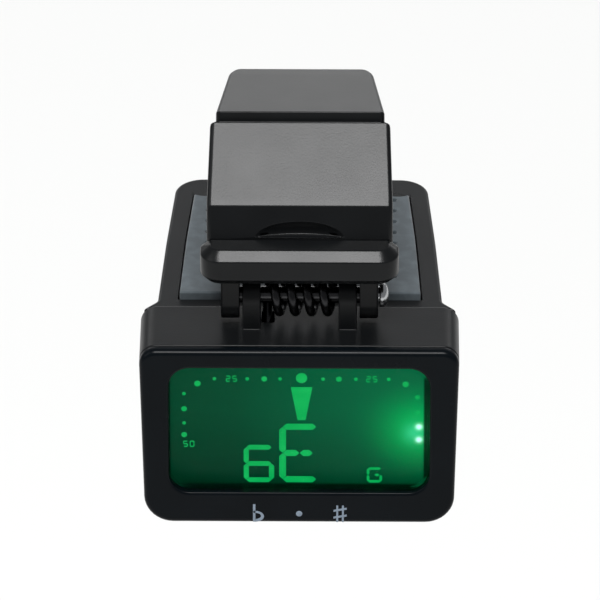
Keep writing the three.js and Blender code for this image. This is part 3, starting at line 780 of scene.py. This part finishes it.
def rear_housing():
    """The case, the box under the lower jaw and the hinge's fixed lugs, in one moulding."""
    front = CASE_FRONT + 1.15
    case = slab("case", CASE, along_y, front, CASE_BACK, (0.12, 0.3))
    jaw_box = slab("jaw_box", jaw_plan(1.3, CASE_BACK - 0.6), along_z, JAW_BOTTOM, -2.15, (0.45, 0))
    combine(case, "UNION", jaw_box, *hinge_lugs())
    cavity = slab("cavity", inset(CASE, WALL), along_y, CASE_FRONT, CASE_BACK - 1.3)
    rebate = slab("rebate", inset(CASE, WALL - 0.7), along_y, CASE_FRONT, front + 0.8)
    bay = turned("bay", along_z, 0, 0, [(10.4, -7.0), (10.4, -1)])
    doorway = slab("doorway", door_plan(0.25, DOOR_PIVOT[1] - 0.75), along_z, JAW_BOTTOM - 1, -6.75, arc=24)
    passage = slab("passage", rectangle(-4.4, 8.2, CASE_BACK - 1.8, -7.5), along_z, -6.2, -1)
    reach = 11.5
    sockets = turned("sockets", along_x, DOOR_PIVOT[1], DOOR_PIVOT[2], [(0.72, -reach), (0.72, reach)])
    mouth = rectangle(-reach, reach, DOOR_PIVOT[1] - 0.55, DOOR_PIVOT[1] + 0.55)
    mouths = slab("mouths", mouth, along_z, JAW_BOTTOM - 1, DOOR_PIVOT[2])
    bore_radius = PIN_RADIUS + 0.1
    bore = turned("bore", along_x, HINGE[1], HINGE[2], [(bore_radius, -6), (bore_radius, 6)])
    leg_slot = slab("leg_slot", rectangle(-3.44, -2.24, -15.2, -13.3), along_z, -2, 0.4)
    hook_slot = slab("hook_slot", rectangle(-5.15, 5.15, -13.2, -11.2), along_z, -2.15, -1.2)
    notch = slab("notch", rectangle(-3, 3, 10.3, 12.8), along_z, JAW_BOTTOM - 1, JAW_BOTTOM + 0.7)
    cuts = [cavity, rebate, bay, doorway, passage, sockets, mouths, bore, leg_slot, hook_slot, notch]
    shoulder = JAW_BOTTOM + 1.3
    for x, y in SCREWS:
        profile = [(1.55, JAW_BOTTOM - 1), (1.55, shoulder), (0.85, shoulder), (0.85, 0)]
        cuts.append(turned("screw_hole", along_z, x, y, profile, 32))
    for x in (-BUTTON_X, BUTTON_X):
        cuts.append(slab("button_hole", button_plan(x, 0.18), along_z, CASE_LOW - 2, CASE_LOW + 2.5))
    combine(case, "DIFFERENCE", *cuts)
    soften_edges(case, 0.08, segments=2)
    case.name = "case_back"
    finish_piece(case, "rear_housing", CASE_PLASTIC, "housing")


# ---------- lower jaw ----------
def jaw_plate():
    """The plate that closes the lower jaw's box and holds the pad."""
    plate = slab("plate", jaw_plan(1.2, CASE_BACK + 0.15), along_z, -2, -0.5, (0.08, 0.3))
    recess = slab("recess", inset(jaw_plan(0, CASE_BACK + 0.05), 1.7), along_z, -1.3, 1)
    combine(plate, "DIFFERENCE", recess)
    hook = slab("hook", rectangle(-5, 5, CASE_BACK - 0.85, CASE_BACK + 1), along_z, -2, -1.35)
    bosses = [turned("boss", along_z, x, y, [(1.35, -1.6), (1.35, -0.5)], 32) for x, y in SCREWS]
    combine(plate, "UNION", hook, *bosses)
    pilots = [turned("pilot", along_z, x, y, [(0.78, -3), (0.78, -0.65)], 24) for x, y in SCREWS]
    combine(plate, "DIFFERENCE", *pilots)
    soften_edges(plate, 0.06, segments=2)
    plate.name = "lower_jaw"
    finish_piece(plate, "jaw_plate", CASE_PLASTIC, "housing")


def ribbed_pad(name, pad, half, first, last, bottom, top):
    """Cuts round-ended grooves, 2 mm apart, across a pad."""
    grooves = []
    for y in range(first, last + 1, 2):
        groove = rectangle(-half, half, y - 0.3, y + 0.3, 0.29)
        grooves.append(slab("groove", groove, along_z, bottom, top))
    combine(pad, "DIFFERENCE", *grooves)
    soften_edges(pad, 0.1)
    pad.name = name


def lower_pad():
    """The rubber on the lower jaw, with holes over the screws' bosses."""
    pad = slab("pad", inset(jaw_plan(0, CASE_BACK + 0.35), 1.85), along_z, -1.25, 0, (0.05, 0.2))
    holes = [turned("hole", along_z, x, y, [(1.55, -2), (1.55, 1)], 32) for x, y in SCREWS]
    combine(pad, "DIFFERENCE", *holes)
    ribbed_pad("lower_rubber", pad, 8.6, -7, 7, -0.4, 1)
    finish_piece(pad, "lower_pad", PAD_RUBBER, "housing")


def upper_pad():
    """The rubber under the arm's tip."""
    plan = both_sides([(7, -7.1, 0.8), (5.5, ARM_TIP - 0.6, 1.4)])
    pad = slab("pad", plan, along_z, 12.5, 13.95, (0.25, 0.05))
    ribbed_pad("upper_rubber", pad, 5, -5, 1, 11.5, 12.9)
    finish_piece(pad, "upper_pad", PAD_RUBBER, "arm")


def door_plan(grow, front):
    """The battery door seen from above: square in front and round behind, larger by grow."""
    half = DOOR_HALF + grow
    return [(half, front, 0), (half, half, half - 0.01), (-half, half, half - 0.01), (-half, front, 0)]


def battery_door():
    """The door under the jaw, with its trunnions in front and three grip ribs behind."""
    top = -6.9
    door = slab("door", door_plan(0, DOOR_PIVOT[1]), along_z, JAW_BOTTOM, top, (0.2, 0.1), arc=24)
    edge_radius = 0.499
    round_edge = [(edge_radius, -DOOR_HALF), (edge_radius, DOOR_HALF)]
    trunnions = [(0.3, -11.15), (0.42, -11.0), (0.42, 11.0), (0.3, 11.15)]
    parts = [
        turned("edge", along_x, DOOR_PIVOT[1], DOOR_PIVOT[2], round_edge, 32),
        turned("trunnions", along_x, DOOR_PIVOT[1], DOOR_PIVOT[2], trunnions, 32),
    ]
    for k in range(3):
        y = 5.6 + k * 1.1
        half = 3 - k * 0.5
        rib = rectangle(-half, half, y - 0.25, y + 0.25, 0.24)
        parts.append(slab("rib", rib, along_z, JAW_BOTTOM - 0.25, JAW_BOTTOM + 0.2, (0.15, 0)))
    combine(door, "UNION", *parts)
    soften_edges(door, 0.06, segments=2)
    door.name = "battery_cover"
    finish_piece(door, "battery_door", CASE_PLASTIC, "door")


def jaw_screw(side, x, y):
    """A cross-head screw, up through the box into the plate."""
    under_head = JAW_BOTTOM + 1.25
    head = [(1.0, JAW_BOTTOM + 0.3), (1.25, JAW_BOTTOM + 0.38), (1.35, JAW_BOTTOM + 0.55)]
    shank = [(1.35, under_head), (0.7, under_head), (0.7, JAW_BOTTOM + 6.1), (0.5, -1.55)]
    screw = turned("screw", along_z, x, y, head + shank, 40)
    slots = []
    for wide, tall in ((0.75, 0.15), (0.15, 0.75)):
        slot = rectangle(x - wide, x + wide, y - tall, y + tall)
        slots.append(slab("slot", slot, along_z, JAW_BOTTOM - 1, JAW_BOTTOM + 0.7))
    combine(screw, "DIFFERENCE", *slots)
    soften_edges(screw, 0.04, segments=2)
    screw.name = f"screw_{side}"
    finish_piece(screw, f"jaw_screw_{side}", STEEL, "housing")


# ---------- buttons ----------
def button_plan(x, grow=0.0):
    """A key's round-ended outline, larger by grow."""
    long = 2.5 + grow
    wide = 1.2 + grow
    return rectangle(x - long, x + long, BUTTON_Y - wide, BUTTON_Y + wide, wide * 0.98)


def button(kind, x):
    """A key: a cap under the case, a flange that holds it in and a stem that meets its switch."""
    flange_low = CASE_LOW + WALL + 0.1
    cap = slab("cap", button_plan(x), along_z, CASE_LOW - 0.6, flange_low + 0.2, (0.35, 0))
    flange = rectangle(x - 3.1, x + 3.1, BUTTON_Y - 1.4, BUTTON_Y + 1.5)
    stem = rectangle(x - 0.6, x + 0.6, -14.7, -14.1)
    combine(
        cap,
        "UNION",
        slab("flange", flange, along_z, flange_low, flange_low + 0.45),
        slab("stem", stem, along_z, flange_low, flange_low + 0.8),
    )
    soften_edges(cap, 0.05, segments=2)
    cap.name = f"{kind}_cap"
    finish_piece(cap, f"{kind}_button", BUTTON_RUBBER, f"{kind}_key")


# ---------- hinge ----------
def hinge_pin():
    """A pin with a domed head on the right. Its other end is flush with the left cheek."""
    head, head_radius = 7.1, 1.1
    dome = [math.pi / 2 * k / FINE for k in range(FINE)]
    profile = [(0.6, -CHEEK_OUTER), (PIN_RADIUS, -6.8), (PIN_RADIUS, head), (head_radius, head)]
    profile += [(head_radius * math.cos(a), head + 0.25 + 0.55 * math.sin(a)) for a in dome]
    pin = turned("pin", along_x, HINGE[1], HINGE[2], profile)
    soften_edges(pin, 0.04, segments=2)
    pin.name = "steel_pin"
    finish_piece(pin, "hinge_pin", PIN_STEEL, "housing")


def torsion_spring():
    """Four turns round the pin, with one leg down into the case and one up behind the arm."""
    per_turn = 40
    lower_leg, upper_leg = 2.9, 6
    first = math.radians(-30)
    last = math.radians(-10) + 2 * math.pi * COIL_TURNS

    def on_coil(angle):
        x = COIL_PITCH * ((angle - first) / (2 * math.pi) - COIL_TURNS / 2)
        across = Vector((0, math.cos(angle), math.sin(angle))) * COIL_RADIUS
        return Vector((x, HINGE[1], HINGE[2])) + across

    def leg(angle, length):
        return on_coil(angle) + Vector((0, -math.sin(angle), math.cos(angle))) * length

    count = COIL_TURNS * per_turn
    points = [leg(first, lower_leg * (k / 10 - 1)) for k in range(10)]
    points += [on_coil(first + (last - first) * k / count) for k in range(count + 1)]
    points += [leg(last, upper_leg * k / 20) for k in range(1, 21)]
    spring = wire("coil_spring", points, 0.42)
    spring.data.shade_smooth()
    spring.data.materials.append(SPRING_STEEL)
    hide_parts("torsion_spring")
    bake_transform(spring)


# ---------- what the display shows ----------
DIAL_X = 0.2  # the dial's middle
BAR_ENDS = {
    "top": ((0, 1), (1, 1)),
    "middle": ((0, 0.5), (1, 0.5)),
    "bottom": ((0, 0), (1, 0)),
    "upper_left": ((0, 0.5), (0, 1)),
    "lower_left": ((0, 0), (0, 0.5)),
    "upper_right": ((1, 0.5), (1, 1)),
    "lower_right": ((1, 0), (1, 0.5)),
    "middle_left": ((0, 0.5), (0.5, 0.5)),
    "middle_right": ((0.5, 0.5), (0.9, 0.5)),
}
GLYPH_BARS = {
    "0": ["top", "bottom", "upper_left", "lower_left", "upper_right", "lower_right"],
    "2": ["top", "upper_right", "middle", "lower_left", "bottom"],
    "5": ["top", "upper_left", "middle", "lower_right", "bottom"],
    "6": ["top", "upper_left", "middle", "lower_left", "lower_right", "bottom"],
    "E": ["top", "upper_left", "middle_left", "middle_right", "lower_left", "bottom"],
    "G": ["top", "upper_left", "lower_left", "bottom", "lower_right", "middle_right"],
}


def bar(start, end, width):
    """A display bar with pointed ends, a hair short of the points it runs between."""
    start, end = Vector(start), Vector(end)
    along = (end - start).normalized()
    across = Vector((-along.y, along.x)) * width / 2
    gap = along * 0.06 * width
    tip = along * width / 2
    first, last = start + gap, end - gap
    lower = [first + tip - across, last - tip - across]
    upper = [last - tip + across, first + tip + across]
    return [first, *lower, last, *upper]


def glyph(name, x, z, wide, tall, thick):
    """The bars of a seven-segment figure whose lower left corner is at (x, z)."""
    low = Vector((x + thick / 2, z + thick / 2))
    size = Vector((wide - thick, tall - thick))
    shapes = []
    for key in GLYPH_BARS[name]:
        ends = [(low.x + u * size.x, low.y + v * size.y) for u, v in BAR_ENDS[key]]
        shapes.append(bar(*ends, thick))
    return shapes


def dot(x, z, radius):
    """A round spot as a shape."""
    sides = 20
    turns = [2 * math.pi * k / sides for k in range(sides)]
    return [Vector((x + radius * math.cos(a), z + radius * math.sin(a))) for a in turns]


def printed(name, shapes, front, back, material):
    """Thin closed plates of (x, z) shapes, in one object that goes with the case."""
    mesh = bmesh.new()
    for shape in shapes:
        near = [mesh.verts.new((x * MM, front * MM, z * MM)) for x, z in shape]
        far = [mesh.verts.new((x * MM, back * MM, z * MM)) for x, z in shape]
        mesh.faces.new(near)
        mesh.faces.new(far[::-1])
        for i, vert in enumerate(near):
            mesh.faces.new((near[i - 1], far[i - 1], far[i], vert))
    bmesh.ops.recalc_face_normals(mesh, faces=mesh.faces)
    data = bpy.data.meshes.new(name)
    mesh.to_mesh(data)
    mesh.free()
    data.materials.append(material)
    obj = bpy.data.objects.new(name, data)
    bpy.context.collection.objects.link(obj)
    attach(obj, "housing")


def screen_content():
    """A tuning dial of dots with its pointer in the middle, a string number, a note and a mode sign."""
    top, line = -3.87, -14.45
    bright, faint = 0.25, 0.16
    small = (0.42, 0.62, 0.09)
    shapes = [dot(DIAL_X, top + 0.1, 0.5)]
    for offset, radius in ((1.9, faint), (3.3, bright), (4.8, faint), (7.7, faint)):
        shapes += [dot(DIAL_X + side * offset, top, radius) for side in (-1, 1)]
    shapes += [dot(DIAL_X + side * 9.2, top - 0.5, 0.28) for side in (-1, 1)]
    for z, radius in ((-5.4, faint), (-6.95, bright), (-8.4, faint), (-9.6, bright)):
        shapes.append(dot(-10.2, z, radius))
    shapes += [dot(10.45, -5.7, 0.22), dot(10.5, -7.25, faint)]
    for side in (-1, 1):
        x = DIAL_X + side * 6.2 - 0.5
        shapes += glyph("2", x, top - 0.3, *small)
        shapes += glyph("5", x + 0.58, top - 0.3, *small)
    shapes += glyph("5", -10.3, -10.85, *small)
    shapes += glyph("0", -9.72, -10.85, *small)
    pointer = [(-0.95, -4.71), (0.95, -4.71), (0.35, -8.06), (-0.35, -8.06)]
    shapes.append([Vector((DIAL_X + x, z)) for x, z in pointer])
    shapes += glyph("6", -4.94, line, 2.71, 3.81, 0.46)
    shapes += glyph("E", -1.78, line, 3.6, 6.0, 0.6)
    shapes += glyph("G", 5.99, line, 1.37, 1.55, 0.24)
    printed("screen_segments", shapes, LCD_FRONT - 0.05, LCD_FRONT - 0.005, SEGMENT)


def stroke(x0, x1, z0, z1):
    """An upright rectangle as a shape."""
    return [(x0, z0), (x1, z0), (x1, z1), (x0, z1)]


def bezel_marks():
    """A flat sign, a dot and a sharp sign printed under the window."""
    z, pen = -16.65, 0.22
    shapes = [dot(0, z, 0.28)]
    stem, foot, tall = -4.1, z - 0.85, 1.8
    shapes.append(stroke(stem, stem + pen, foot, foot + tall))
    steps = 12
    turns = [math.radians(105 - 195 * k / steps) for k in range(steps + 1)]
    outer = [(stem + 0.2 + 0.78 * math.cos(a), foot + 0.56 + 0.56 * math.sin(a)) for a in turns]
    inner = [(stem + 0.2 + 0.52 * math.cos(a), foot + 0.6 + 0.32 * math.sin(a)) for a in turns]
    shapes += [[outer[k], outer[k + 1], inner[k + 1], inner[k]] for k in range(steps)]
    left, slope = 3.05, 0.2
    for x in (0.25, 0.75):
        shapes.append(stroke(left + x, left + x + 0.17, z - 0.85, z + 0.85))
    for rise in (-0.5, 0.2):
        for u0, u1 in ((0, 0.25), (0.42, 0.75), (0.92, 1.17)):
            x0, x1 = left + u0, left + u1
            z0, z1 = z + rise + slope * u0, z + rise + slope * u1
            shapes.append([(x0, z0), (x1, z1), (x1, z1 + 0.2), (x0, z0 + 0.2)])
    printed("bezel_signs", shapes, CASE_FRONT, CASE_FRONT + 0.05, PAINT)


# ---------- CAD nodes that stay ----------
KEPT = {
    "lcd_panel": LCD,
    "light_guide": ACRYLIC,
    "reflector_sheet": REFLECTOR,
    "backlight_led_upper": LED,
    "backlight_led_lower": LED,
    "zebra_strip": STRIP_RUBBER,
    "main_board": BOARD,
    "tuner_chip": CHIP,
    "clock_crystal": STEEL,
    "power_switch": CHIP,
    "mode_switch": CHIP,
    "piezo_plate": BRASS,
    "piezo_ceramic": CERAMIC,
    "sensor_lead_red": RED_LEAD,
    "sensor_lead_black": BLACK_LEAD,
    "coin_cell": STEEL,
    "cell_contact_negative": STEEL,
    "cell_contact_positive": STEEL,
}


def dress(node, material):
    """Gives a CAD node its material and small rounded edges."""
    obj = frame["nodes"][node]
    obj.data.materials.clear()
    obj.data.materials.append(material)
    weld = obj.modifiers.new("weld", "WELD")
    weld.merge_threshold = 0.001 * MM
    clean = obj.modifiers.new("flatten", "DECIMATE")
    clean.decimate_type = "DISSOLVE"
    clean.angle_limit = math.radians(1)
    bevel = obj.modifiers.new("edges", "BEVEL")
    bevel.width = 0.06 * MM
    bevel.segments = 2
    bevel.limit_method = "ANGLE"
    bevel.angle_limit = math.radians(35)
    bevel.harden_normals = True


for name, material in KEPT.items():
    dress(name, material)
front_bezel()
window_lens()
rear_housing()
jaw_plate()
lower_pad()
upper_pad()
battery_door()
for side, (x, y) in zip(("left", "right"), SCREWS):
    jaw_screw(side, x, y)
button("power", -BUTTON_X)
button("mode", BUTTON_X)
hinge_pin()
torsion_spring()
clip_arm()
screen_content()
bezel_marks()


# ---------- stage ----------
def soft_floor():
    """A pale studio floor, so far below the tuner that its shadow falls outside the picture."""
    half, low = 12.0, -0.1  # in metres
    mesh = bpy.data.meshes.new("floor")
    corners = [(-half, -half, low), (half, -half, low), (half, half, low), (-half, half, low)]
    mesh.from_pydata(corners, [], [(0, 1, 2, 3)])
    floor = bpy.data.objects.new("floor", mesh)
    bpy.context.collection.objects.link(floor)
    look = Look("floor", (0.78, 0.78, 0.77), 0.6, Specular_IOR_Level=0.2)
    cloud = look.noise(400)
    look.feed("Base Color", look.ramp(cloud, (0.3, (0.77, 0.77, 0.76)), (0.7, (0.79, 0.79, 0.78))))
    mesh.materials.append(look.mat)


def direction(azimuth, elevation):
    """Away from the tuner, in degrees. Azimuth 0 is in front of the display, and 90 to its right."""
    turn, rise = math.radians(azimuth), math.radians(elevation)
    return Vector((math.sin(turn) * math.cos(rise), -math.cos(turn) * math.cos(rise), math.sin(rise)))


def softbox(name, azimuth, elevation, distance, size, power):
    """An area light aimed at the tuner, with its distance and size in metres."""
    light = bpy.data.lights.new(name, "AREA")
    light.shape = "RECTANGLE"
    light.size, light.size_y = size
    light.energy = power
    obj = bpy.data.objects.new(name, light)
    bpy.context.collection.objects.link(obj)
    away = direction(azimuth, elevation)
    obj.location = Vector((0, -0.008, 0)) + away * distance
    obj.rotation_euler = away.to_track_quat("Z", "Y").to_euler()


def lights():
    """A broad key above the display, a weak fill at its left and a low strip behind."""
    softbox("key_above_front", 0, 64.5, 2.4, (1.0, 0.6), 67)
    softbox("fill_left", -70, 35, 1.0, (0.5, 0.6), 1.5)
    softbox("low_behind", 180, 13, 1.0, (0.9, 0.2), 1.45)
    world = bpy.data.worlds.new("studio")
    bpy.context.scene.world = world
    world.use_nodes = True
    background = world.node_tree.nodes["Background"]
    background.inputs["Color"].default_value = (0.95, 0.97, 1.0, 1)
    background.inputs["Strength"].default_value = 0.28


def camera():
    """The photograph's view, with a long lens. Angles are in degrees and distances in metres."""
    data = bpy.data.cameras.new("camera")
    data.sensor_width = 36
    data.lens = 600
    data.clip_start = 0.05
    data.clip_end = 20
    obj = bpy.data.objects.new("camera", data)
    bpy.context.collection.objects.link(obj)
    azimuth, elevation, distance = 0.44, 29.55, 0.89
    obj.location = Vector((0, -0.009, 0)) + direction(azimuth, elevation) * distance
    aim = Vector((0, -0.0105, -0.0005))
    obj.rotation_euler = (obj.location - aim).to_track_quat("Z", "Y").to_euler()
    bpy.context.scene.camera = obj


soft_floor()
lights()
camera()
bpy.context.scene.view_settings.view_transform = "Standard"
